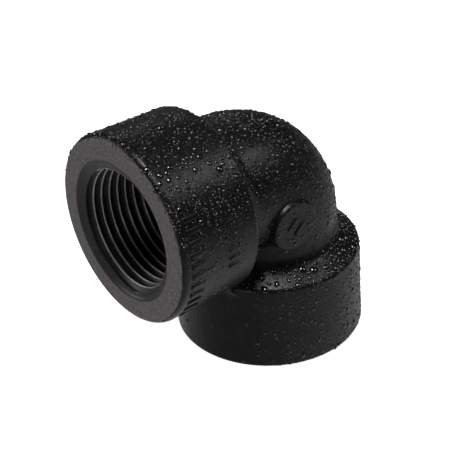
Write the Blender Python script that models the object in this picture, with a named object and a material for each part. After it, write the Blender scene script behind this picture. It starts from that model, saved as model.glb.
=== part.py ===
"""Moulded plastic 90 degree pipe elbow with a 3/4 inch NPT socket at each end.

The moulding is modelled as its named sections: two socket collars, the hollow bend
between them, the two pipe threads, the cheek pads and the raised marks.

Metres, +Z up. The elbow stands on its outlet face: the outlet looks along -Z and the
inlet looks along -Y. The origin is at the bottom centre of the whole elbow.
"""

from math import atan2, ceil, cos, hypot, pi, radians, sin, sqrt, tau

import bmesh
import bpy
from mathutils import Matrix, Vector

# Collars
COLLAR_DIAMETER = 0.0375
COLLAR_LENGTH = 0.0178          # face to the edge where the shoulder starts
COLLAR_DRAFT = 0.0005           # radius lost from the face to that edge
INLET_EDGE_ROUND = 0.0015       # of the face's outer edge
OUTLET_EDGE_ROUND = 0.0009
SHOULDER_EDGE_ROUND = 0.0005
SHOULDER_HEIGHT = 0.0029        # along the socket's axis, from the collar edge to the neck

# Bend
BODY_DIAMETER = 0.0275
WATERWAY_DIAMETER = 0.0200
BEND_RADIUS = 0.0107            # of the centre line
NECK_CLEARANCE = 0.00055        # from the inner corner of the bend to the shoulder's end

# 3/4 - 14 NPT socket thread
THREAD_PITCH = 0.0254 / 14
PITCH_DIAMETER = 0.025118       # at the face of the socket
THREAD_HEIGHT = 0.001451
THREAD_LENGTH = 0.0150
RADIUS_TAPER = 1 / 32           # 1:16 on the diameter
FLANK_ANGLE = radians(30)       # each flank from the normal to the axis
CREST_WIDTH = 0.0002
THREAD_START = 0.0011           # from the face to the near foot of the first ridge
MOUTH_DIAMETER = 0.0280
MOUTH_DEPTH = 0.0009            # of the chamfer at the mouth
RUNOUT_LENGTH = 0.0012          # cone from the thread's end to the waterway

# Pads and marks
PAD_DIAMETER = 0.0102
PAD_STANDS_PROUD = 0.0008       # of the widest part of the body
PAD_OFFSET = 0.0050             # from both axes, towards the inner side of the bend
MARK_HEIGHT = 0.0003
MARK_SLOPE = 0.0001             # that the top edge stands in from the side
ROW_MARK_SIZE = (0.0032, 0.0013)        # along the socket's axis, and round the collar
ROW_MARK_COUNT = 11
ROW_SPACING = 0.0023            # round the collar
ROW_FROM_FACE = 0.0036
ROW_START = radians(61)         # round the collar, from the top towards +X
SHORT_MARK_SIZE = (0.0026, 0.0011)
SHORT_MARK_COUNT = 3
SHORT_SPACING = 0.0019
SHORT_FROM_SHOULDER = 0.0058
SHORT_START = radians(90)
PAD_MARK_SIZE = (0.0032, 0.0011)
PAD_MARK_SPACING = 0.0022

GAP = 0.0003                    # between sections that meet

# Facets
TURN_SEGMENTS = 48
CURVE_STEPS = 8                 # over half of the bend
ROUND_STEPS = 3
THREAD_SEGMENTS = 24            # for each turn
PAD_SEGMENTS = 32
PAD_RINGS = 3

COLLAR_RADIUS = COLLAR_DIAMETER / 2
BODY_RADIUS = BODY_DIAMETER / 2
WATERWAY_RADIUS = WATERWAY_DIAMETER / 2
SHOULDER_END = COLLAR_LENGTH + SHOULDER_HEIGHT
CENTRE_TO_FACE = max(BODY_RADIUS, BEND_RADIUS) + NECK_CLEARANCE + SHOULDER_END
REAR_REACH = max(COLLAR_RADIUS, BODY_RADIUS)
AXES_CROSSING = Vector((0, (CENTRE_TO_FACE - REAR_REACH) / 2, CENTRE_TO_FACE))

# Half a turn about the line between the two axes carries the inlet onto the outlet.
INLET_TO_OUTLET = Matrix.Rotation(pi, 4, Vector((0, 1, 1)))


def clear_scene():
    for item in list(bpy.data.objects):
        bpy.data.objects.remove(item)


def plastic(name, color, roughness):
    material = bpy.data.materials.new(name)
    material.use_nodes = True
    shader = material.node_tree.nodes["Principled BSDF"]
    shader.inputs["Base Color"].default_value = (*color, 1)
    shader.inputs["Roughness"].default_value = roughness
    shader.inputs["Metallic"].default_value = 0
    return material


def add_part(name, mesh, parent, color=(0.012, 0.012, 0.013), roughness=0.4, turn=None):
    """Add an object for the mesh, under the empty at the crossing of the axes."""
    item = bpy.data.objects.new(name, mesh)
    bpy.context.scene.collection.objects.link(item)
    item.parent = parent
    if turn:
        item.matrix_basis = turn
    mesh.materials.clear()
    mesh.materials.append(plastic(name, color, roughness))
    return item


def finish_mesh(name, bm):
    """Turn a bmesh into a mesh with its faces outward and its round sides smooth."""
    bmesh.ops.recalc_face_normals(bm, faces=bm.faces)
    mesh = bpy.data.meshes.new(name)
    bm.to_mesh(mesh)
    bm.free()
    mesh.shade_smooth()
    mesh.set_sharp_from_angle(angle=radians(32))
    return mesh


def bridge(bm, first, second):
    """Join two closed rings of vertices with quads."""
    count = len(first)
    for j in range(count):
        k = (j + 1) % count
        bm.faces.new((first[j], first[k], second[k], second[j]))


def arc(centre, radius, start, end, steps):
    """Points (depth, radius) on an arc, its angles measured from the depth axis."""
    angles = [start + (end - start) * i / steps for i in range(steps + 1)]
    return [(centre[0] + radius * cos(a), centre[1] + radius * sin(a)) for a in angles]


def root_radius(depth):
    """Radius of the thread's root at a depth from the face."""
    return (PITCH_DIAMETER + THREAD_HEIGHT) / 2 - RADIUS_TAPER * depth


def collar_radius(depth):
    """Outer radius of a collar at a depth behind its face."""
    return COLLAR_RADIUS - COLLAR_DRAFT * depth / COLLAR_LENGTH


def collar_profile(edge_round):
    """Closed outline (depth from the face, radius) of a collar with its shoulder."""
    thread_end = min(THREAD_LENGTH, SHOULDER_END - RUNOUT_LENGTH - GAP)
    shoulder = collar_radius(COLLAR_LENGTH)
    slope = atan2(shoulder - BODY_RADIUS, SHOULDER_HEIGHT)
    edge = SHOULDER_EDGE_ROUND
    outline = arc((edge_round, COLLAR_RADIUS - edge_round), edge_round, pi, pi / 2, ROUND_STEPS)
    outline += [
        (COLLAR_LENGTH - edge, shoulder),
        (COLLAR_LENGTH + edge * cos(slope), shoulder - edge * sin(slope)),
        (SHOULDER_END, BODY_RADIUS),
        (SHOULDER_END, WATERWAY_RADIUS),
        (thread_end + RUNOUT_LENGTH, WATERWAY_RADIUS),
        (thread_end, root_radius(thread_end)),
        (MOUTH_DEPTH, root_radius(MOUTH_DEPTH)),
        (0, MOUTH_DIAMETER / 2),
    ]
    return outline


def collar_mesh(edge_round):
    """A collar at the inlet: its outline turned about the inlet axis, then trimmed along the
    plane between the two sockets, so that the collars meet there without overlapping."""
    bm = bmesh.new()
    rings = []
    for depth, radius in collar_profile(edge_round):
        turns = [tau * j / TURN_SEGMENTS for j in range(TURN_SEGMENTS)]
        rings.append([bm.verts.new((radius * sin(t), depth - CENTRE_TO_FACE, radius * cos(t)))
                      for t in turns])
    for first, second in zip(rings, rings[1:] + rings[:1]):
        bridge(bm, first, second)
    trim = Vector((0, 1, -1)).normalized()
    cut = bmesh.ops.bisect_plane(bm, geom=bm.verts[:] + bm.edges[:] + bm.faces[:],
                                 dist=1e-7, plane_co=-trim * GAP / 2, plane_no=trim,
                                 clear_outer=True)
    cut_edges = [e for e in cut["geom_cut"] if isinstance(e, bmesh.types.BMEdge)]
    if cut_edges:
        bmesh.ops.triangle_fill(bm, edges=cut_edges, use_beauty=True)
    return finish_mesh("collar", bm)


def elbow_line(radius, turn, end):
    """Points along one side of the bend, from the inlet end to the middle plane.

    On the outer side of the bend the line runs straight, then round the curve. On the
    inner side, past the curve's centre, it runs straight on to the middle plane.
    """
    x, z = radius * sin(turn), radius * cos(turn)
    reach = BEND_RADIUS + z
    if reach <= 0:
        return [(x, end + (z - end) * i / (CURVE_STEPS + 1), z) for i in range(CURVE_STEPS + 2)]
    points = [(x, end, z)]
    for i in range(CURVE_STEPS + 1):
        a = pi / 4 * i / CURVE_STEPS
        points.append((x, reach * sin(a) - BEND_RADIUS, reach * cos(a) - BEND_RADIUS))
    return points


def bend_mesh():
    """The hollow bend: an outer and an inner skin, closed by a ring at each end."""
    bm = bmesh.new()
    end = SHOULDER_END + GAP - CENTRE_TO_FACE
    skins = []
    for radius in (BODY_RADIUS, WATERWAY_RADIUS):
        lines = []
        for j in range(TURN_SEGMENTS):
            half = elbow_line(radius, tau * (j + 0.5) / TURN_SEGMENTS, end)
            lines.append(half + [(x, z, y) for x, y, z in reversed(half[:-1])])
        rings = [[bm.verts.new(line[m]) for line in lines] for m in range(len(lines[0]))]
        for first, second in zip(rings, rings[1:]):
            bridge(bm, first, second)
        skins.append(rings)
    outer, inner = skins
    bridge(bm, outer[0], inner[0])
    bridge(bm, outer[-1], inner[-1])
    return finish_mesh("bend", bm)


def thread_mesh():
    """The right-hand helical ridge of the inlet, a gap inside the collar's wall."""
    bm = bmesh.new()
    thread_end = min(THREAD_LENGTH, SHOULDER_END - RUNOUT_LENGTH - GAP)
    height = THREAD_HEIGHT - GAP
    base = min(CREST_WIDTH + 2 * height * sin(FLANK_ANGLE) / cos(FLANK_ANGLE),
               THREAD_PITCH - GAP / 2)
    travel = thread_end - GAP - THREAD_START - base
    stations = ceil(travel / THREAD_PITCH * THREAD_SEGMENTS)
    previous = None
    for i in range(stations + 1):
        turn = tau * i / THREAD_SEGMENTS
        middle = THREAD_START + base / 2 + min(THREAD_PITCH * i / THREAD_SEGMENTS, travel)
        ring = []
        for side, width, inward in ((-1, base, GAP), (1, base, GAP),
                                    (1, CREST_WIDTH, THREAD_HEIGHT),
                                    (-1, CREST_WIDTH, THREAD_HEIGHT)):
            depth = middle + side * width / 2
            radius = root_radius(depth) - inward
            ring.append(bm.verts.new((radius * sin(turn), depth - CENTRE_TO_FACE,
                                      radius * cos(turn))))
        if previous:
            bridge(bm, previous, ring)
        else:
            bm.faces.new(ring)
        previous = ring
    bm.faces.new(previous)
    return finish_mesh("thread", bm)


def body_half_width(y, z, radius):
    """Half the width along X, at (y, z), of a body of the given radius on the bend."""
    if y < -BEND_RADIUS and y <= z:
        off_centre = z
    elif z < -BEND_RADIUS:
        off_centre = y
    else:
        off_centre = hypot(y + BEND_RADIUS, z + BEND_RADIUS) - BEND_RADIUS
    return sqrt(max(radius ** 2 - off_centre ** 2, 0))


def pad_mesh():
    """A round pad on the +X cheek: flat outside, and inside a gap off the body."""
    bm = bmesh.new()
    face_x = BODY_RADIUS + PAD_STANDS_PROUD

    def point(ring, j, flat):
        radius = PAD_DIAMETER / 2 * ring / PAD_RINGS
        y = -PAD_OFFSET + radius * cos(tau * j / PAD_SEGMENTS)
        z = -PAD_OFFSET + radius * sin(tau * j / PAD_SEGMENTS)
        x = face_x if flat else body_half_width(y, z, BODY_RADIUS + GAP)
        return bm.verts.new((x, y, z))

    edges = {}
    for flat in (True, False):
        centre = point(0, 0, flat)
        inner = None
        for ring in range(1, PAD_RINGS + 1):
            outer = [point(ring, j, flat) for j in range(PAD_SEGMENTS)]
            if inner:
                bridge(bm, inner, outer)
            else:
                for j in range(PAD_SEGMENTS):
                    bm.faces.new((centre, outer[j], outer[(j + 1) % PAD_SEGMENTS]))
            inner = outer
        edges[flat] = inner
    bridge(bm, edges[True], edges[False])
    return finish_mesh("pad", bm)


def bar_mesh(length, width):
    """A plain raised bar with sloping sides, its base centred at the local origin."""
    bm = bmesh.new()
    rings = []
    for slope, rise in ((0, 0), (0, MARK_HEIGHT / 2), (MARK_SLOPE, MARK_HEIGHT)):
        half_length = length / 2 - slope
        half_width = width / 2 - slope
        rings.append([bm.verts.new((u * half_length, v * half_width, rise))
                      for u, v in ((-1, -1), (1, -1), (1, 1), (-1, 1))])
    bridge(bm, rings[0], rings[1])
    bridge(bm, rings[1], rings[2])
    bm.faces.new(rings[0])
    bm.faces.new(rings[2])
    return finish_mesh("bar", bm)


def placed(origin, along, up):
    """A placement at origin, with local X along the bar and local Z off the surface."""
    across = up.cross(along)
    turn = Matrix((along, across, up)).transposed()
    return Matrix.Translation(origin) @ turn.to_4x4()


def add_mark_row(name, axes, size, count, spacing, depth, start):
    """A row of bars round the inlet collar, each lying along the socket's axis."""
    along = Vector((0, 1, 0))
    for i in range(count):
        angle = start + i * spacing / COLLAR_RADIUS
        out = Vector((sin(angle), 0, cos(angle)))
        origin = out * (collar_radius(depth) + GAP) + along * (depth - CENTRE_TO_FACE)
        add_part(f"{name}_{i + 1}", bar_mesh(*size), axes, turn=placed(origin, along, out))


def add_marks(axes):
    """Plain raised bars: two rows round the inlet collar and a pair on the +X pad."""
    add_mark_row("collar_mark", axes, ROW_MARK_SIZE, ROW_MARK_COUNT, ROW_SPACING,
                 ROW_FROM_FACE, ROW_START)
    add_mark_row("short_mark", axes, SHORT_MARK_SIZE, SHORT_MARK_COUNT, SHORT_SPACING,
                 COLLAR_LENGTH - SHORT_FROM_SHOULDER, SHORT_START)

    cheek = Vector((1, 0, 0))
    slant = Vector((0, 1, 1)).normalized()
    pad_face = Vector((BODY_RADIUS + PAD_STANDS_PROUD + GAP, -PAD_OFFSET, -PAD_OFFSET))
    for i, side in enumerate((-0.5, 0.5)):
        origin = pad_face + cheek.cross(slant) * side * PAD_MARK_SPACING
        add_part(f"pad_mark_{i + 1}", bar_mesh(*PAD_MARK_SIZE), axes,
                 turn=placed(origin, slant, cheek))


def build():
    clear_scene()
    axes = bpy.data.objects.new("axes_crossing", None)
    bpy.context.scene.collection.objects.link(axes)
    axes.location = AXES_CROSSING

    add_part("inlet_collar", collar_mesh(INLET_EDGE_ROUND), axes)
    add_part("outlet_collar", collar_mesh(OUTLET_EDGE_ROUND), axes, turn=INLET_TO_OUTLET)
    add_part("bend", bend_mesh(), axes, roughness=0.35)

    thread = thread_mesh()
    add_part("inlet_thread", thread, axes, roughness=0.3)
    add_part("outlet_thread", thread.copy(), axes, roughness=0.3, turn=INLET_TO_OUTLET)

    pad = pad_mesh()
    add_part("cheek_pad_right", pad, axes, roughness=0.35)
    add_part("cheek_pad_left", pad.copy(), axes, roughness=0.35, turn=INLET_TO_OUTLET)
    add_marks(axes)


build()
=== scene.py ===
import math

import bmesh
import bpy
import numpy as np
from mathutils import Matrix, Vector


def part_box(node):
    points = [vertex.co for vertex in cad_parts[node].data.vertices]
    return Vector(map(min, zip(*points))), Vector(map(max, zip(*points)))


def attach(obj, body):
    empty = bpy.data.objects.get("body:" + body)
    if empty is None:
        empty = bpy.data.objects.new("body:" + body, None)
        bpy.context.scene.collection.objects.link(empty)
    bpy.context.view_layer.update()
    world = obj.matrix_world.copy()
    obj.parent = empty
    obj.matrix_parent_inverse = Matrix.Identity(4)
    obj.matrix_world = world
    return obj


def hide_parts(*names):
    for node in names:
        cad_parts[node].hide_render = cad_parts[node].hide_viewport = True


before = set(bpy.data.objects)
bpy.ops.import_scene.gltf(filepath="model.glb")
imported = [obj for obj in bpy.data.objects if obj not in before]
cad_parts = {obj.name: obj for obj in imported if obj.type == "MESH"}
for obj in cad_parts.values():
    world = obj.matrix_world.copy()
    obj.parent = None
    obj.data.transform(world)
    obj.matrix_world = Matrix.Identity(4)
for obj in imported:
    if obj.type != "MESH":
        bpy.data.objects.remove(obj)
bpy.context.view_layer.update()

# A 3/4 inch threaded elbow, moulded in one piece in black plastic, wet with drops of water.
# Lengths below are in millimetres from the point where the two sockets' axes cross.
MM = 0.001

low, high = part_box("inlet_collar")
COLLAR_RADIUS = (high[2] - low[2]) / 2 / MM
AXES_Z = (high[2] + low[2]) / 2 / MM
low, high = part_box("outlet_collar")
AXES_Y = (high[1] + low[1]) / 2 / MM
CENTRE_TO_FACE = AXES_Z - low[2] / MM
low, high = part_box("bend")
BODY_RADIUS = (high[0] - low[0]) / 2 / MM
CROSSING = Vector((0, AXES_Y, AXES_Z)) * MM

# The collars, the pipe between them and the blends where they meet.
INLET_EDGE_ROUND = 1.5
OUTLET_EDGE_ROUND = 0.9
COLLAR_DRAFT = 0.5              # radius lost from the face to the shoulder
SHOULDER_EDGE_ROUND = 0.45
COLLAR_LENGTH = 17.8
SHOULDER_HEIGHT = 2.9
SHOULDER_END = COLLAR_LENGTH + SHOULDER_HEIGHT
BEND_RADIUS = 10.7
WATERWAY_RADIUS = 10.0
CROTCH_BLEND = 1.9
NECK_BLEND = 1.5
WEB_HALF_THICKNESS = 0.7
WEB_HALF_ANGLE = math.radians(26)
WEB_EDGE_SCALE = 1.06
WEB_INSET = 1.0
FLASH_HEIGHT, FLASH_WIDTH = 0.03, 0.09      # the mould's parting line

# The 3/4-14 NPT thread and the mouth of the bore.
PITCH = 25.4 / 14
PITCH_RADIUS = 25.118 / 2
THREAD_HEIGHT = 1.451
THREAD_TAPER = 1 / 32
THREAD_HALF_ANGLE = math.radians(30)
THREAD_START = math.radians(35)
CREST_WIDTH = 0.12
CREST_HIGHLIGHT_DEPTH = 0.16             # how far down from the crest the painted highlight reaches
CREST_ROUND = 0.16
ROOT_RISE = 0.06
WEAR = 0.012
WEAR_ROUND, WEAR_ALONG = 7, 2.3
MOUTH_RADIUS = 14.0
MOUTH_EDGE_ROUND = 0.12
MOUTH_DEPTH = 0.4
MOUTH_SLOPE, DEEPER_SLOPE = 1.4, 1.2
THREAD_END = 15.0
THREAD_RUN_OUT = 0.8
SOCKET_DEPTH = 16.2
SOCKET_END_SLOPE = 2.4
SOCKET_END_BLEND = 0.3

PAD_RADIUS = 5.1
PAD_RIM = 0.4
PAD_FACE = 14.55                # from the middle plane
PAD_OFFSET = 5.0                # from the axes' crossing towards each face
PAD_FOOT_BLEND = 0.5
PAD_FOOT_DEPTH = 1.2


# ---------------------------------------------------------------- the moulding's outer surface

def smooth_min(a, b, k):
    """The smaller of a and b, with a blend of about k where they cross."""
    h = np.maximum(k - np.abs(a - b), 0) / k
    return np.minimum(a, b) - h * h * k / 4


def round_max(a, b, r):
    """The larger of two distances: where both bodies end, with a round of radius r."""
    return np.minimum(np.maximum(a, b), -r) + np.hypot(np.maximum(a + r, 0), np.maximum(b + r, 0))


def drum_radius(depth):
    """A collar's radius at a depth behind its face."""
    return COLLAR_RADIUS - COLLAR_DRAFT * depth / COLLAR_LENGTH


def collar(depth, radius, edge_round):
    """Signed distance to one socket's outside, from the depth behind its face and the radius."""
    shoulder = COLLAR_RADIUS - COLLAR_DRAFT
    across = shoulder - BODY_RADIUS
    slant = math.hypot(across, SHOULDER_HEIGHT)
    cone = ((depth - COLLAR_LENGTH) * across + (radius - shoulder) * SHOULDER_HEIGHT) / slant
    drum = round_max(radius - drum_radius(depth), -depth, edge_round)
    return round_max(drum, cone, SHOULDER_EDGE_ROUND)


def pipe(x, y, z):
    """Signed distance to the bent pipe between the sockets."""
    turning = (y > -BEND_RADIUS) & (z > -BEND_RADIUS)
    arc = np.abs(np.hypot(y + BEND_RADIUS, z + BEND_RADIUS) - BEND_RADIUS)
    leg = np.where(y > -BEND_RADIUS, np.abs(y),
                   np.where(z > -BEND_RADIUS, np.abs(z), np.minimum(np.abs(y), np.abs(z))))
    return np.hypot(x, np.where(turning, arc, leg)) - BODY_RADIUS


def outside(x, y, z):
    """Signed distance to the whole moulding's outside, without its bores."""
    inlet = collar(y + CENTRE_TO_FACE, np.hypot(x, z), INLET_EDGE_ROUND)
    outlet = collar(z + CENTRE_TO_FACE, np.hypot(x, y), OUTLET_EDGE_ROUND)
    sockets = smooth_min(inlet, outlet, CROTCH_BLEND)
    down = -(y + z) / 2
    wedge = (np.abs(x) - down * math.tan(WEB_HALF_ANGLE)) / WEB_EDGE_SCALE
    web = np.maximum(np.maximum(np.abs(y - z) / math.sqrt(2) - WEB_HALF_THICKNESS, wedge),
                     (down - (COLLAR_LENGTH - WEB_INSET)) * math.sqrt(2))
    body = smooth_min(smooth_min(sockets, web, CROTCH_BLEND), pipe(x, y, z), NECK_BLEND)
    return body - FLASH_HEIGHT * np.exp(-(x / FLASH_WIDTH) ** 2)


SLOPE_STEP = 0.02               # over which the surface's slope is taken


def outward(p):
    """Unit normals of the outer surface at the points p."""
    e = SLOPE_STEP
    x, y, z = p.T
    n = np.stack([outside(x + e, y, z) - outside(x - e, y, z),
                  outside(x, y + e, z) - outside(x, y - e, z),
                  outside(x, y, z + e) - outside(x, y, z - e)], axis=1)
    return n / np.maximum(np.linalg.norm(n, axis=1, keepdims=True), 1e-9)


def last_inside(value, near, far, steps=60, halvings=22):
    """The largest root of value(t) between far and near, for each column, looking in from near."""
    t_out = np.array(near, float)
    t_in = t_out.copy()
    found = value(t_out) < 0
    for k in range(1, steps + 1):
        t = near + (far - near) * k / steps
        hit = ~found & (value(t) < 0)
        t_in = np.where(hit, t, t_in)
        t_out = np.where(found | hit, t_out, t)
        found |= hit
    for _ in range(halvings):
        middle = (t_in + t_out) / 2
        inside = value(middle) < 0
        t_in = np.where(inside, middle, t_in)
        t_out = np.where(inside, t_out, middle)
    return (t_in + t_out) / 2


def even(start, end, step):
    """Evenly spaced values after start, up to and with end, about one step apart."""
    n = max(1, round(abs(end - start) / step))
    return [start + (end - start) * (k + 1) / n for k in range(n)]


# Lines run from the inlet's mouth to the middle plane between the two sockets. Their angle
# starts at the bottom of the inlet and grows towards +X. More lines lie by the parting line.
LINES = 448
angles = np.arange(LINES) / LINES * 2 * math.pi
extra = np.array([-0.15, -0.1, -0.05, 0.05, 0.1, 0.15]) / COLLAR_RADIUS
ANGLES = np.sort(np.concatenate([angles, extra[3:], 2 * math.pi + extra[:3], math.pi + extra]))
SIN, COS = np.sin(ANGLES), np.cos(ANGLES)
FACING_IN = COS > 0.05


SEARCH_FROM = COLLAR_RADIUS + 1.5       # clear of the moulding
SEARCH_TO = BODY_RADIUS - 1.5           # inside it
NEAR_CROSSING = 0.5


def meeting_depth():
    """How far below both axes each line meets the middle plane."""
    tan = SIN / np.where(FACING_IN, COS, 1)
    ends = last_inside(lambda t: outside(t * tan, -t, -t), np.full(len(ANGLES), SEARCH_FROM),
                       np.full(len(ANGLES), NEAR_CROSSING))
    return np.where(FACING_IN, ends, 0), tan


MEETING, TAN = meeting_depth()


def straight_row(depth):
    """Points on the outer surface round the inlet's axis, none past the middle plane."""
    y = depth - CENTRE_TO_FACE
    to_middle = -y / np.where(FACING_IN, COS, 1)
    near = np.where(FACING_IN, np.minimum(SEARCH_FROM, to_middle), SEARCH_FROM)
    radius = last_inside(lambda r: outside(r * SIN, np.full_like(r, y), -r * COS),
                         near, np.full_like(near, SEARCH_TO))
    row = np.stack([radius * SIN, np.full_like(radius, y), -radius * COS], axis=1)
    over = -y <= MEETING
    met = np.stack([MEETING * TAN, -MEETING, -MEETING], axis=1)
    return np.where(over[:, None], met, row)


def turned_row(turn, radius):
    """A ring round the bend's centre line, turned from the inlet's end of the bend."""
    reach = BEND_RADIUS - radius * COS
    return np.stack([radius * SIN + 0 * reach, -BEND_RADIUS + reach * math.sin(turn),
                     -BEND_RADIUS + reach * math.cos(turn)], axis=1)


def ring(depth, radius):
    """A ring round the inlet's axis at a depth behind its face."""
    y = np.full_like(SIN, depth - CENTRE_TO_FACE)
    return np.stack([radius * SIN, y, -radius * COS], axis=1)


def flash(row):
    """Raises the mould's parting line on a row of the face or the drum."""
    return FLASH_HEIGHT * np.exp(-(row[:, 0] / FLASH_WIDTH) ** 2)


FACE_STEP = 0.8
EDGE_STEPS = 8


def face_rows(edge_round):
    """Rings over a collar's flat face and round its outer edge."""
    rows = []
    for radius in [MOUTH_RADIUS] + even(MOUTH_RADIUS, COLLAR_RADIUS - edge_round, FACE_STEP):
        row = ring(0, radius)
        row[:, 1] -= flash(row) * min(1, (radius - MOUTH_RADIUS) / FACE_STEP)
        rows.append(row)
    for k in range(1, EDGE_STEPS + 1):
        turn = k / EDGE_STEPS * math.pi / 2
        lift = flash(ring(0, COLLAR_RADIUS))
        row = ring(0, drum_radius(edge_round) - edge_round + (edge_round + lift) * math.sin(turn))
        row[:, 1] += edge_round - (edge_round + lift) * math.cos(turn)
        rows.append(row)
    return rows


# Rows lie closest together over the shoulder's outer edge and its foot.
DRUM_END = 14.0
DRUM_STEP = 0.4
SHOULDER_DEPTHS = (even(DRUM_END, 17.2, 0.16) + even(17.2, 18.4, 0.075)
                   + even(18.4, 20.1, 0.17) + even(20.1, SHOULDER_END, 0.12))
NECK_DEPTHS = (even(SHOULDER_END, 22.4, 0.14)
               + even(22.4, CENTRE_TO_FACE - BEND_RADIUS, 0.3))
TURNS = even(0, math.pi / 4, math.radians(0.85))


def bend_rows():
    """Rows of the outer surface from the inlet's shoulder to the middle of the bend."""
    rows = [straight_row(d) for d in NECK_DEPTHS]
    flat = rows[-1]
    for turn in TURNS:
        row = turned_row(turn, np.full_like(SIN, BODY_RADIUS))
        lift = outward(row) * flash(row)[:, None]
        met = MEETING >= BEND_RADIUS
        rows.append(np.where(met[:, None], flat, row + lift))
    return rows


def bridge(rows, first=0):
    """Quads between closed rows of points, each row the same length."""
    n = len(rows[0])
    across = np.arange(n)
    nxt = (across + 1) % n
    quads = []
    for k in range(len(rows) - 1):
        a, b = first + k * n, first + (k + 1) * n
        quads.append(np.stack([a + across, a + nxt, b + nxt, b + across], axis=1))
    return np.concatenate(quads)


def swapped(points):
    """The same points on the other socket: half a turn about the line between the two axes."""
    return np.stack([-points[:, 0], points[:, 2], points[:, 1]], axis=1)


def make_piece(name, blocks, weld=0.0008, smooth_angle=35):
    """A mesh from blocks of (points in mm, quads). Points closer than weld are joined, and
    faces that shrink to nothing are dropped."""
    verts, faces, start = [], [], 0
    for points, quads in blocks:
        verts.append(points)
        faces.append(quads + start)
        start += len(points)
    verts = np.concatenate(verts)
    faces = np.concatenate(faces)
    mesh = bpy.data.meshes.new(name)
    mesh.from_pydata([], [], [])
    mesh.vertices.add(len(verts))
    mesh.vertices.foreach_set("co", (verts * MM + np.array(CROSSING)).astype(np.float32).ravel())
    mesh.loops.add(faces.size)
    mesh.loops.foreach_set("vertex_index", faces.astype(np.int32).ravel())
    mesh.polygons.add(len(faces))
    mesh.polygons.foreach_set("loop_start", np.arange(0, faces.size, 4, dtype=np.int32))
    mesh.update(calc_edges=True)
    bm = bmesh.new()
    bm.from_mesh(mesh)
    bmesh.ops.remove_doubles(bm, verts=bm.verts, dist=weld * MM)
    bmesh.ops.recalc_face_normals(bm, faces=bm.faces)
    bm.to_mesh(mesh)
    bm.free()
    mesh.validate()
    mesh.shade_smooth()
    mesh.set_sharp_from_angle(angle=math.radians(smooth_angle))
    obj = bpy.data.objects.new(name, mesh)
    bpy.context.scene.collection.objects.link(obj)
    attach(obj, "root")
    return obj


def read(mesh, items, field, width, kind=np.float32):
    """One field of a mesh's vertices, loops or polygons, as an array."""
    out = np.zeros(len(getattr(mesh, items)) * width, kind)
    getattr(mesh, items).foreach_get(field, out)
    return out.reshape(-1, width) if width > 1 else out


def local(points):
    """Points in mm from the axes' crossing."""
    return (points - np.array(CROSSING)) / MM


SKIN_MARGIN = 0.02              # how far off the outer surface a point may lie
SAME_WAY = 0.8                  # least cosine between a face's normal and the surface's


def shade_from_surface(obj):
    """Gives the corners of faces that lie on the outer surface that surface's own normals."""
    mesh = obj.data
    points = local(read(mesh, "vertices", "co", 3).astype(float))
    on_skin = np.abs(outside(*points.T)) < SKIN_MARGIN
    normals = outward(points)
    corner_vertex = read(mesh, "loops", "vertex_index", 1, np.int32)
    start = read(mesh, "polygons", "loop_start", 1, np.int32)
    total = read(mesh, "polygons", "loop_total", 1, np.int32)
    face_of = np.repeat(np.arange(len(start)), total)
    face_normal = read(mesh, "polygons", "normal", 3)
    facing = (normals[corner_vertex] * face_normal[face_of]).sum(axis=1)
    good = on_skin[corner_vertex] & (facing > SAME_WAY)
    good &= np.bincount(face_of, ~good, len(start))[face_of] == 0
    custom = np.where(good[:, None], normals[corner_vertex], 0)
    mesh.normals_split_custom_set(custom.tolist())


def build_shell():
    """The moulding's outside and waterway, in three pieces that meet without a visible join."""
    shoulder = [straight_row(d) for d in SHOULDER_DEPTHS]
    inner = [ring(SHOULDER_END, WATERWAY_RADIUS), ring(SOCKET_DEPTH, WATERWAY_RADIUS),
             ring(SOCKET_DEPTH, MOUTH_RADIUS), ring(0, MOUTH_RADIUS)]
    collars = []
    for edge_round in (INLET_EDGE_ROUND, OUTLET_EDGE_ROUND):
        rows = face_rows(edge_round)
        for depth in even(edge_round, DRUM_END, DRUM_STEP):
            base = drum_radius(depth)
            rows.append(ring(depth, base + flash(ring(depth, base))))
        rows += shoulder + inner
        collars.append((np.concatenate(rows), bridge(rows)))
    inlet = make_piece("inlet_collar_shell", [collars[0]])
    outlet = make_piece("outlet_collar_shell", [(swapped(collars[1][0]), collars[1][1])])

    neck = [shoulder[-1]] + bend_rows()
    water = [turned_row(t, np.full_like(SIN, WATERWAY_RADIUS)) for t in reversed([0] + TURNS)]
    water.append(ring(SHOULDER_END, WATERWAY_RADIUS))
    half_out = np.concatenate(neck)
    half_in = np.concatenate(water)
    cap = [water[-1], neck[0]]
    cap_points = np.concatenate(cap)
    blocks = [(half_out, bridge(neck)), (half_in, bridge(water)), (cap_points, bridge(cap))]
    blocks += [(swapped(p), q) for p, q in list(blocks)]
    bend = make_piece("bend_shell", blocks)
    for obj in (inlet, outlet, bend):
        shade_from_surface(obj)
    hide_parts("inlet_collar")
    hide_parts("outlet_collar")
    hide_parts("bend")
    return inlet, outlet, bend


# ---------------------------------------------------------------- the threaded bores

def ridge(s):
    """Height of the thread above its root, s of a pitch away from the crest's middle."""
    away = np.abs((s + 0.5) % 1 - 0.5) * PITCH
    flank = THREAD_HEIGHT - (away - CREST_WIDTH / 2) / math.tan(THREAD_HALF_ANGLE)
    top = smooth_min(flank, THREAD_HEIGHT, CREST_ROUND)
    return -smooth_min(-top, -ROOT_RISE, CREST_ROUND)


def mouth_radius(depth):
    """The entry chamfer, with a small round at the face and a steeper part further in."""
    into_round = np.sqrt(np.clip(depth * (2 * MOUTH_EDGE_ROUND - depth), 0, None))
    return (MOUTH_RADIUS - MOUTH_SLOPE * depth - DEEPER_SLOPE * np.maximum(depth - MOUTH_DEPTH, 0)
            - np.where(depth < MOUTH_EDGE_ROUND, into_round, MOUTH_EDGE_ROUND))


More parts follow.
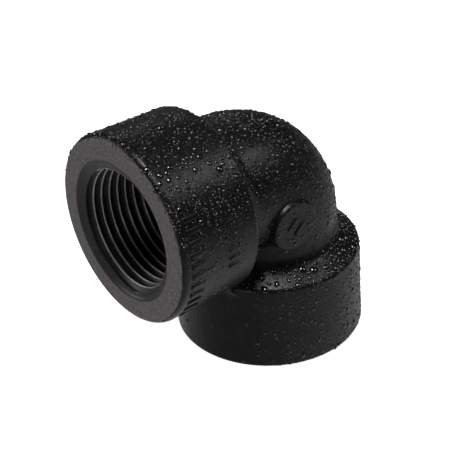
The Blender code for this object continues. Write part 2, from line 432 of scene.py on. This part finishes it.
def bore_column(depth, share_of_pitch, angle):
    """Radii of the bore at some depths, for a column of points at one angle."""
    root = PITCH_RADIUS + THREAD_HEIGHT / 2 - depth * THREAD_TAPER
    fade = np.clip((THREAD_END - depth) / THREAD_RUN_OUT, 0, 1)
    wear = WEAR * np.sin(angle * WEAR_ROUND) * np.sin(depth * WEAR_ALONG)
    radius = root - ridge(share_of_pitch) * fade + wear
    radius = -smooth_min(-radius, -mouth_radius(depth), MOUTH_EDGE_ROUND)
    cone = WATERWAY_RADIUS + (SOCKET_DEPTH - depth) * SOCKET_END_SLOPE
    return smooth_min(radius, cone, SOCKET_END_BLEND)


def thread_bore(name, node, columns, per_pitch, at_outlet):
    """The bore of a socket: an entry chamfer, a right-hand tapered thread and a short cone.
    The points of a column follow the thread, so that its crest runs along a row."""
    turns = int(math.ceil(SOCKET_DEPTH / PITCH)) + 1
    j = np.arange(-per_pitch, turns * per_pitch + 1)
    rows = []
    for i in range(columns + 1):
        share = i / columns
        depth = np.clip((j / per_pitch + share) * PITCH, 0, SOCKET_DEPTH)
        angle = THREAD_START - share * 2 * math.pi
        radius = bore_column(depth, j / per_pitch, angle)
        rows.append(np.stack([radius * math.sin(angle), depth - CENTRE_TO_FACE,
                              -radius * math.cos(angle)], axis=1))
    n = len(j)
    points = np.concatenate(rows)
    a = (np.arange(columns)[:, None] * n + np.arange(n - 1)[None, :]).ravel()
    quads = np.stack([a, a + n, a + n + 1, a + 1], axis=1)
    radii = [(0, MOUTH_RADIUS), (SOCKET_DEPTH, MOUTH_RADIUS), (SOCKET_DEPTH, WATERWAY_RADIUS)]
    back = []
    for i in range(columns + 1):
        angle = THREAD_START - i / columns * 2 * math.pi
        back.append([[r * math.sin(angle), d - CENTRE_TO_FACE, -r * math.cos(angle)]
                     for d, r in radii])
    back = np.array(back).reshape(-1, 3)
    b = (np.arange(columns)[:, None] * 3 + np.arange(2)[None, :]).ravel()
    back_quads = np.stack([b, b + 1, b + 4, b + 3], axis=1)
    blocks = [(points, quads[:, ::-1]), (back, back_quads[:, ::-1])]
    if at_outlet:
        blocks = [(swapped(p), q) for p, q in blocks]
    obj = make_piece(name, blocks, weld=0.004, smooth_angle=50)
    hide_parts(node)
    return obj


shells = list(build_shell())
bores = [thread_bore("inlet_thread_bore", "inlet_thread", 420, 22, False),
         thread_bore("outlet_thread_bore", "outlet_thread", 240, 14, True)]

# ---------------------------------------------------------------- pads and raised bars

PAD_COLUMNS = 72


def pad(name, node, on_left):
    """A round pad on the cheek of the bend, with a softened rim and foot."""
    turns = np.arange(PAD_COLUMNS) / PAD_COLUMNS * 2 * math.pi
    rim = PAD_RIM
    rows = []
    steps = ([0.02] + even(0.02, PAD_RADIUS - rim, 0.5)
             + even(PAD_RADIUS - rim, PAD_RADIUS, 0.05) + even(PAD_RADIUS, PAD_RADIUS + 1.1, 0.08))
    for reach in steps:
        y = -PAD_OFFSET + reach * np.cos(turns)
        z = -PAD_OFFSET + reach * np.sin(turns)
        level = np.abs(np.hypot(y + BEND_RADIUS, z + BEND_RADIUS) - BEND_RADIUS)
        cheek = np.sqrt(BODY_RADIUS ** 2 - level ** 2)
        into = max(0, reach - (PAD_RADIUS - rim)) / rim
        top = PAD_FACE - rim * (1 - math.sqrt(max(0, 1 - min(into, 1) ** 2)))
        top -= max(0, into - 1) * rim * 6
        x = -smooth_min(-cheek, -top, PAD_FOOT_BLEND) - 0.02 * (reach == steps[-1])
        rows.append(np.stack([x, y, z], axis=1))
    foot = rows[-1].copy()
    foot[:, 0] -= PAD_FOOT_DEPTH
    hub = foot.copy()
    hub[:, 0] = hub[:, 0].min()
    hub[:, 1:] = -PAD_OFFSET + (hub[:, 1:] + PAD_OFFSET) * 0.01
    rows = [hub, foot] + rows[::-1]
    points = np.concatenate(rows)
    if on_left:
        points = swapped(points)
    obj = make_piece(name, [(points, bridge(rows)[:, ::-1])], weld=0.06, smooth_angle=60)
    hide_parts(node)
    return obj


def rounded_outline(half_long, half_wide, corner, steps=5):
    """Points round a rectangle with rounded corners."""
    points = []
    for k, (u, v) in enumerate(((1, 1), (-1, 1), (-1, -1), (1, -1))):
        for j in range(steps + 1):
            a = (k + j / steps) * math.pi / 2
            points.append((u * (half_long - corner) + corner * math.cos(a),
                           v * (half_wide - corner) + corner * math.sin(a)))
    return np.array(points)


# How far in from its outline and how high above the surface a bar's side passes.
BAR_SIDE = ((-0.06, -0.15), (-0.04, 0.0), (0.03, 0.14), (0.1, 0.23), (0.22, 0.3))
BAR_CORNER = 0.4


def bar(name, node, half_long, half_wide, place):
    """A plain raised bar with soft edges. place maps (along, across, rise) to a point."""
    rows = []
    for inset, rise in BAR_SIDE:
        corner = max(0.12, BAR_CORNER - inset)
        outline = rounded_outline(half_long - inset, half_wide - inset, corner)
        rows.append(place(outline[:, 0], outline[:, 1], rise))
    inset, top = BAR_SIDE[-1]
    bottom = BAR_SIDE[0][1]
    flat = rounded_outline(half_long - inset, half_wide - inset, 0.15)
    for share in (0.5, 0.02):
        rows.append(place(flat[:, 0] * share, flat[:, 1] * share, top))
    rows.insert(0, place(flat[:, 0] * 0.02, flat[:, 1] * 0.02, bottom))
    obj = make_piece(name, [(np.concatenate(rows), bridge(rows))], weld=0.03, smooth_angle=60)
    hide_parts(node)
    return obj


def collar_bars():
    """Plain bars where the raised lettering of the real fitting would be."""
    bars = []
    for node in sorted(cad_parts):
        if not node.startswith(("collar_mark", "short_mark")):
            continue
        lo, hi = (np.array(c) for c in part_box(node))
        centre = local((lo + hi) / 2)
        around = math.atan2(centre[0], centre[2])
        half_wide = 0.6 if node.startswith("collar") else 0.5

        def place(along, across, rise):
            y = centre[1] + along
            radius = drum_radius(y + CENTRE_TO_FACE) + rise
            angle = around + across / COLLAR_RADIUS
            return np.stack([radius * np.sin(angle), y, radius * np.cos(angle)], axis=1)

        half_long = (hi[1] - lo[1]) / 2 / MM
        bars.append(bar(node.replace("mark", "bar"), node, half_long, half_wide, place))
    for node in ("pad_mark_1", "pad_mark_2"):
        lo, hi = (np.array(c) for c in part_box(node))
        centre = local((lo + hi) / 2)

        def place(along, across, rise):
            y = centre[1] + (along - across) * math.sqrt(0.5)
            z = centre[2] + (along + across) * math.sqrt(0.5)
            return np.stack([np.full_like(y, PAD_FACE + rise), y, z], axis=1)

        bars.append(bar(node.replace("mark", "bar"), node, 1.6, 0.5, place))
    return bars


pads = [pad("cheek_pad_right_shell", "cheek_pad_right", False),
        pad("cheek_pad_left_shell", "cheek_pad_left", True)]
bars = collar_bars()

# ---------------------------------------------------------------- drops of water
rng = np.random.default_rng(11)


def skin_faces():
    """Centres, normals and areas of the faces on the moulding's outer surface and pads."""
    centres, normals, areas = [], [], []
    for obj in shells + pads:
        centre = local(read(obj.data, "polygons", "center", 3).astype(float))
        normal = read(obj.data, "polygons", "normal", 3).astype(float)
        if obj in pads:
            keep = (np.abs(normal[:, 0]) > 0.95) & (np.abs(centre[:, 0]) > PAD_FACE - 0.05)
        else:
            keep = ((np.abs(outside(*centre.T)) < 0.03)
                    & ((outward(centre) * normal).sum(axis=1) > SAME_WAY))
            normal = outward(centre)
        centres.append(centre[keep])
        normals.append(normal[keep])
        areas.append(read(obj.data, "polygons", "area", 1)[keep] / MM ** 2)
    return np.concatenate(centres), np.concatenate(normals), np.concatenate(areas)


def ramp(value, start, end):
    """0 before start, 1 past end and a smooth rise between. The start may be the larger."""
    t = np.clip((value - start) / (end - start), 0, 1)
    return t * t * (3 - 2 * t)


def wetness(p, n):
    """How thickly the beads of water lie, from 0 to 1: thick on top, thin below the inlet, on
    the outlet's front and in the lee under the bend, and none on the inlet's face. Angles are
    in degrees, from the top of the inlet and from the front of the outlet, towards +X."""
    x, y, z = p.T
    on_inlet = ramp(y, -13.8, -14.4) * ramp(z - y, -1, 1)
    on_outlet = ramp(z, -13.8, -14.4) * (1 - on_inlet)
    around_inlet = np.degrees(np.arctan2(n[:, 0], n[:, 2]))
    around_outlet = np.degrees(np.arctan2(n[:, 0], -n[:, 1]))
    inlet = 1 - 0.8 * ramp(np.abs(around_inlet), 75, 118)
    inlet *= 1 - 0.5 * ramp(-around_inlet, -20, 25)
    outlet = 0.05 + 0.95 * ramp(around_outlet, 30, 80) + 0.5 * ramp(-around_outlet, 80, 120)
    shelf = ramp(n[:, 2], 0.3, 0.6) * on_outlet
    outlet = outlet * (1 - shelf) + shelf * ramp(np.abs(around_outlet), 20, 45)
    lee = ramp(z, -6.5, -9.5) * ramp(np.abs(around_outlet), 105, 75)
    bend = 1 - 0.9 * lee
    wet = bend * (1 - on_inlet) * (1 - on_outlet) + inlet * on_inlet + outlet * on_outlet
    facing_out = ramp(-n[:, 1] * (y < -30), 0.75, 0.95)
    return wet * (1 - facing_out) * ramp(n[:, 2], -0.75, -0.3)


JITTER = 0.12
CELL = 1.6
NEIGHBOURS = [(dx, dy, dz) for dx in (-1, 0, 1) for dy in (-1, 0, 1) for dz in (-1, 0, 1)]


def sow(faces, weight, count, clear):
    """Random places on the faces by area and weight, kept where their clear distances don't
    overlap. A grid of cells finds each place's neighbours."""
    centre, normal, area = faces
    share = area * weight
    picks = rng.choice(len(area), size=count, p=share / share.sum())
    jitter = rng.normal(0, JITTER, (count, 3))
    n = normal[picks]
    p = centre[picks] + jitter - (jitter * n).sum(axis=1, keepdims=True) * n
    off = outside(*p.T)
    p -= np.where(np.abs(off) < 0.4, off, 0)[:, None] * n
    cells, keep = {}, []
    for k in range(count):
        key = tuple(np.floor(p[k] / CELL).astype(int))
        near = [j for dx, dy, dz in NEIGHBOURS
                for j in cells.get((key[0] + dx, key[1] + dy, key[2] + dz), ())]
        if all(((p[k] - p[j]) ** 2).sum() > (clear[k] + clear[j]) ** 2 for j in near):
            cells.setdefault(key, []).append(k)
            keep.append(k)
    return p[keep], n[keep], np.array(keep)


SPACING = 1.12                  # a drop's clear distance, of its radius
SUNK = 0.06                     # how far a drop's rim lies below the surface, of its radius
SAG = 0.12


def drops(name, p, n, size, stretch, segments, levels):
    """Water lying on the surface: low domes with rounded, slightly uneven outlines. On a steep
    surface they are stretched and sag downwards."""
    down = np.array([0.0, 0.0, -1.0]) - n * -n[:, 2:3]
    down /= np.maximum(np.linalg.norm(down, axis=1, keepdims=True), 1e-6)
    side = np.cross(n, down)
    count = len(p)
    turns = np.arange(segments) / segments * 2 * math.pi
    wobble = (1 + 0.1 * np.sin(turns[None, :] * 2 + rng.uniform(0, 6.3, (count, 1)))
              + 0.06 * np.sin(turns[None, :] * 3 + rng.uniform(0, 6.3, (count, 1))))
    height = rng.uniform(0.45, 0.62, (count, 1))
    rings = []
    for level in levels:
        angle = level * math.pi / 2
        spread = np.cos(angle) * wobble
        rise = np.sin(angle) * height * np.ones((1, segments)) - SUNK
        sag = SAG * np.sin(angle) * stretch[:, None]
        along = spread * np.cos(turns)[None, :] * stretch[:, None] + sag
        across = spread * np.sin(turns)[None, :]
        rings.append(p[:, None] + size[:, None, None]
                     * (down[:, None] * along[..., None] + side[:, None] * across[..., None]
                        + n[:, None] * rise[..., None]))
    top = p + size[:, None] * (n * (height - SUNK) + down * (SAG * stretch)[:, None])
    each = segments * len(levels) + 1
    points = np.concatenate([np.stack(rings, axis=1).reshape(count, -1, 3), top[:, None]], axis=1)
    across = np.arange(segments)
    following = (across + 1) % segments
    faces = []
    for k in range(len(levels) - 1):
        a, b = k * segments, (k + 1) * segments
        faces += [tuple(q) for q in np.stack([a + across, a + following, b + following,
                                              b + across], axis=1).tolist()]
    last = (len(levels) - 1) * segments
    faces += [(last + i, last + j, each - 1) for i, j in zip(across.tolist(), following.tolist())]
    faces.append(tuple(reversed(across.tolist())))
    loops = np.array([i for f in faces for i in f])
    totals = np.array([len(f) for f in faces])
    every = (loops[None, :] + (np.arange(count) * each)[:, None]).ravel()
    starts = np.concatenate([[0], np.cumsum(np.tile(totals, count))[:-1]])
    mesh = bpy.data.meshes.new(name)
    mesh.vertices.add(count * each)
    co = points.reshape(-1, 3) * MM + np.array(CROSSING)
    mesh.vertices.foreach_set("co", co.astype(np.float32).ravel())
    mesh.loops.add(len(every))
    mesh.loops.foreach_set("vertex_index", every.astype(np.int32))
    mesh.polygons.add(len(starts))
    mesh.polygons.foreach_set("loop_start", starts.astype(np.int32))
    mesh.update(calc_edges=True)
    mesh.validate()
    mesh.shade_smooth()
    mesh.set_sharp_from_angle(angle=math.radians(70))
    obj = bpy.data.objects.new(name, mesh)
    bpy.context.scene.collection.objects.link(obj)
    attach(obj, "root")
    return obj


CHUNK = 500                     # drops compared at a time with those already placed


def clear_of(p, size, taken_p, taken_size):
    """Which new drops touch none of the drops already placed."""
    free = np.ones(len(p), bool)
    for start in range(0, len(p), CHUNK):
        part = slice(start, start + CHUNK)
        gap = np.linalg.norm(p[part, None] - taken_p[None], axis=2)
        free[part] = (gap > taken_size[None] + size[part, None]).all(1)
    return free


def wet_the_surface():
    """Sows drops of four sizes, the largest first. Large ones gather along a band on the
    inlet's upper right side and on the outlet's shoulder."""
    faces = skin_faces()
    p, n = faces[:2]
    wet = wetness(p, n)
    up = ramp(n[:, 2], -0.2, 0.5)
    around = np.degrees(np.arctan2(n[:, 0], n[:, 2]))
    band = np.exp(-((around - 38) / 9) ** 2) * (p[:, 1] < -14)
    band += 2 * np.exp(-((n[:, 2] - 0.84) / 0.06) ** 2) * (p[:, 2] < -12) * (n[:, 0] > 0.1)
    often, fine = wet * (0.35 + 0.65 * up + band), wet ** 1.5
    water = []
    plans = (  # name, tries, smallest and largest radius, weight, segments, ring heights
        ("drops_large_1", 200, 0.42, 0.95, wet * up * (0.04 + band), 20,
         (0, 0.2, 0.4, 0.6, 0.8, 0.92)),
        ("drops_middle_1", 1100, 0.3, 0.5, often, 12, (0, 0.25, 0.5, 0.75)),
        ("beads_1", 5600, 0.16, 0.32, fine, 8, (0, 0.4, 0.75)),
        ("mist_1", 18000, 0.1, 0.17, fine, 6, (0, 0.55)),
    )
    taken_p, taken_r = np.zeros((0, 3)), np.zeros(0)
    for name, tries, small, large, weight, segments, levels in plans:
        size = small + (large - small) * rng.random(tries) ** 2
        p, normal, keep = sow(faces, weight, tries, size * SPACING)
        size = size[keep]
        free = clear_of(p, size, taken_p, taken_r)
        p, normal, size = p[free], normal[free], size[free]
        lean = 1 - ramp(np.abs(normal[:, 2]), 0.3, 0.85)
        stretch = 1 + lean * rng.uniform(0, 0.5, len(p)) * (size > 0.27)
        water.append(drops(name, p, normal, size, stretch, segments, levels))
        taken_p = np.concatenate([taken_p, p])
        taken_r = np.concatenate([taken_r, size])
    return water


water = wet_the_surface()

# ---------------------------------------------------------------- materials

def material(name):
    """A new material, with its nodes, its links and its shader."""
    mat = bpy.data.materials.new(name)
    mat.use_nodes = True
    tree = mat.node_tree
    return mat, tree.nodes, tree.links, tree.nodes["Principled BSDF"]


def object_noise(nodes, links, per_mm, detail, rough=0.5):
    """Noise fixed to the object, with about per_mm features to the millimetre."""
    where = nodes.new("ShaderNodeTexCoord")
    noise = nodes.new("ShaderNodeTexNoise")
    noise.inputs["Scale"].default_value = per_mm / MM
    noise.inputs["Detail"].default_value = detail
    noise.inputs["Roughness"].default_value = rough
    links.new(where.outputs["Object"], noise.inputs["Vector"])
    return noise


def ranged(nodes, links, source, low, high, out_low, out_high):
    """The source's stretch from low to high, mapped to out_low to out_high and clamped."""
    spread = nodes.new("ShaderNodeMapRange")
    for key, value in (("From Min", low), ("From Max", high), ("To Min", out_low),
                       ("To Max", out_high)):
        spread.inputs[key].default_value = value
    links.new(source, spread.inputs["Value"])
    return spread.outputs["Result"]


def bump(nodes, links, height, strength, distance, before=None):
    """A bump of at most distance mm, on top of the bump before it."""
    node = nodes.new("ShaderNodeBump")
    node.inputs["Strength"].default_value = strength
    node.inputs["Distance"].default_value = distance * MM
    links.new(height, node.inputs["Height"])
    if before:
        links.new(before, node.inputs["Normal"])
    return node.outputs["Normal"]


GRAIN_HEIGHT, SINK_HEIGHT = 0.05, 0.06      # mm


def moulded_plastic(name, dark, light, rough_low, rough_high, grain, gloss, mottle=0.35):
    """Black plastic with a cloudy tone and sheen, soft sinks and a fine grain."""
    mat, nodes, links, shader = material(name)
    tone = object_noise(nodes, links, mottle, 4, 0.8)
    mix = nodes.new("ShaderNodeMix")
    mix.data_type = "RGBA"
    mix.inputs["A"].default_value = (*dark, 1)
    mix.inputs["B"].default_value = (*light, 1)
    links.new(ranged(nodes, links, tone.outputs["Fac"], 0.35, 0.65, 0, 1), mix.inputs["Factor"])
    links.new(mix.outputs["Result"], shader.inputs["Base Color"])
    sheen = object_noise(nodes, links, 0.8, 3)
    links.new(ranged(nodes, links, sheen.outputs["Fac"], 0.35, 0.65, rough_low, rough_high),
              shader.inputs["Roughness"])
    fine = object_noise(nodes, links, 3.2, 4, 0.6)
    wave = object_noise(nodes, links, 0.25, 1)
    soft = bump(nodes, links, wave.outputs["Fac"], 0.5, SINK_HEIGHT)
    rough_skin = bump(nodes, links, fine.outputs["Fac"], grain, GRAIN_HEIGHT, soft)
    links.new(rough_skin, shader.inputs["Normal"])
    shader.inputs["Specular IOR Level"].default_value = gloss
    return mat


outer = moulded_plastic("moulded_black", (0.0035, 0.0033, 0.0038), (0.006, 0.0057, 0.0062),
                        0.26, 0.34, 1.0, 0.3)
face_finish = moulded_plastic("face_black", (0.024, 0.0205, 0.023), (0.1, 0.086, 0.096),
                              0.6, 0.75, 1.0, 0.5, 1.6)
# The bore gets a lighter copy of the same plastic: painted fill light, so that the thread valleys
# inside the socket don't go black.
bore = moulded_plastic("bore_black", (0.01, 0.009, 0.01), (0.02, 0.018, 0.02),
                       0.3, 0.4, 0.6, 0.4, 1.2)
# A light grey copy of the plastic for the thread crests: a painted highlight for the thin bright
# lines that light draws along them.
crest = moulded_plastic("crest_painted_highlight", (0.11, 0.1, 0.105), (0.22, 0.2, 0.21),
                        0.25, 0.35, 0.6, 0.8, 1.2)

wet_mat, nodes, links, shader = material("water")
shader.inputs["Base Color"].default_value = (0.004, 0.004, 0.0045, 1)
shader.inputs["Roughness"].default_value = 0.06
shader.inputs["IOR"].default_value = 1.7
shader.inputs["Specular IOR Level"].default_value = 0.58

for o in shells + pads + bars:
    o.data.materials.append(outer)
for o in bores:
    mesh = o.data
    mesh.materials.append(bore)
    mesh.materials.append(crest)
    x, y, z = local(read(mesh, "polygons", "center", 3).astype(float)).T
    depth = (y if o is bores[0] else z) + CENTRE_TO_FACE
    radius = np.hypot(x, z if o is bores[0] else y)
    crest_radius = PITCH_RADIUS - THREAD_HEIGHT / 2 - depth * THREAD_TAPER
    # Faces near the crest tops take the crest material, a painted highlight.
    crest_highlight = (radius < crest_radius + CREST_HIGHLIGHT_DEPTH) & (depth < THREAD_END - 1)
    mesh.polygons.foreach_set("material_index", crest_highlight.astype(np.int32))
for o in water:
    o.data.materials.append(wet_mat)
FACE_FINISH_DEPTH = 0.25
for o in shells[:2]:
    mesh = o.data
    mesh.materials.append(face_finish)
    centre = local(read(mesh, "polygons", "center", 3).astype(float))
    depth = (centre[:, 1] if o is shells[0] else centre[:, 2]) + CENTRE_TO_FACE
    mesh.polygons.foreach_set("material_index", (depth < FACE_FINISH_DEPTH).astype(np.int32))
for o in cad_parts.values():
    o.data.materials.clear()
    o.data.materials.append(outer)

# ---------------------------------------------------------------- floor, lights, camera
bpy.ops.mesh.primitive_plane_add(size=3, location=(0, 0, 0))
floor = bpy.context.object
floor.name = "floor"
floor.visible_glossy = False
floor.visible_transmission = False
white, nodes, links, shader = material("floor_white")
shader.inputs["Base Color"].default_value = (0.9, 0.9, 0.9, 1)
shader.inputs["Roughness"].default_value = 0.8
shader.inputs["Emission Color"].default_value = (1, 1, 1, 1)
shader.inputs["Emission Strength"].default_value = 0.95
floor.data.materials.append(white)

world = bpy.data.worlds.new("studio")
bpy.context.scene.world = world
world.use_nodes = True
nodes, links = world.node_tree.nodes, world.node_tree.links
heading = nodes.new("ShaderNodeTexCoord")
split = nodes.new("ShaderNodeSeparateXYZ")
links.new(heading.outputs["Generated"], split.inputs["Vector"])
# In reflections the world stands for the pale floor: bright well below the horizon, dim above
# it, and stronger towards the back.
low_glow = ranged(nodes, links, split.outputs["Z"], -0.52, -0.08, 5.7, 0.1)
side = ranged(nodes, links, split.outputs["Y"], -0.8, 0.5, 0.7, 2.3)
glow = nodes.new("ShaderNodeMath")
glow.operation = "MULTIPLY"
links.new(low_glow, glow.inputs[0])
links.new(side, glow.inputs[1])
links.new(glow.outputs["Value"], nodes["Background"].inputs["Strength"])


def lamp(name, towards, distance, width, height, radiance):
    """A soft box, in metres, seen from the object in the given direction."""
    data = bpy.data.lights.new(name, "AREA")
    data.shape = "RECTANGLE"
    data.size, data.size_y = width, height
    data.energy = radiance * math.pi * width * height
    obj = bpy.data.objects.new(name, data)
    bpy.context.scene.collection.objects.link(obj)
    direction = Vector(towards).normalized()
    obj.location = CROSSING + direction * distance
    obj.rotation_euler = (-direction).to_track_quat("-Z", "Y").to_euler()


lamp("top_box", (0.08, -0.14, 1), 0.6, 0.2, 0.2, 23)
lamp("back_strip", (0.43, 0.52, 0.74), 0.6, 0.05, 0.12, 25)
lamp("left_box", (-0.75, -0.6, 0.25), 0.7, 0.3, 0.4, 2.5)
lamp("back_left", (-0.75, 0.52, 0.3), 0.7, 0.3, 0.3, 0.22)
lamp("front_box", (0.3, -0.88, 0.12), 0.6, 0.12, 0.12, 6)

# The camera stands where the photograph was taken from. Azimuth is from the inlet's front.
AZIMUTH, ELEVATION, ROLL = math.radians(51.96), math.radians(32.78), math.radians(-2.25)
DISTANCE = 325.6 * MM
LENS = 134.2
AIM_RIGHT, AIM_UP = -7.93 * MM, -11.57 * MM     # of the aim, from the axes' crossing
back = Vector((math.sin(AZIMUTH) * math.cos(ELEVATION), -math.cos(AZIMUTH) * math.cos(ELEVATION),
               math.sin(ELEVATION)))
right = Vector((math.cos(AZIMUTH), math.sin(AZIMUTH), 0))
up = back.cross(right)
right, up = (right * math.cos(ROLL) + up * math.sin(ROLL),
             up * math.cos(ROLL) - right * math.sin(ROLL))
cam_data = bpy.data.cameras.new("camera")
cam_data.lens = LENS
cam_data.clip_start, cam_data.clip_end = 0.01, 10
camera = bpy.data.objects.new("camera", cam_data)
bpy.context.scene.collection.objects.link(camera)
camera.location = CROSSING + right * AIM_RIGHT + up * AIM_UP + back * DISTANCE
camera.rotation_mode = "QUATERNION"
camera.rotation_quaternion = Matrix((right, up, back)).transposed().to_quaternion()
bpy.context.scene.camera = camera
bpy.context.scene.view_settings.view_transform = "Standard"
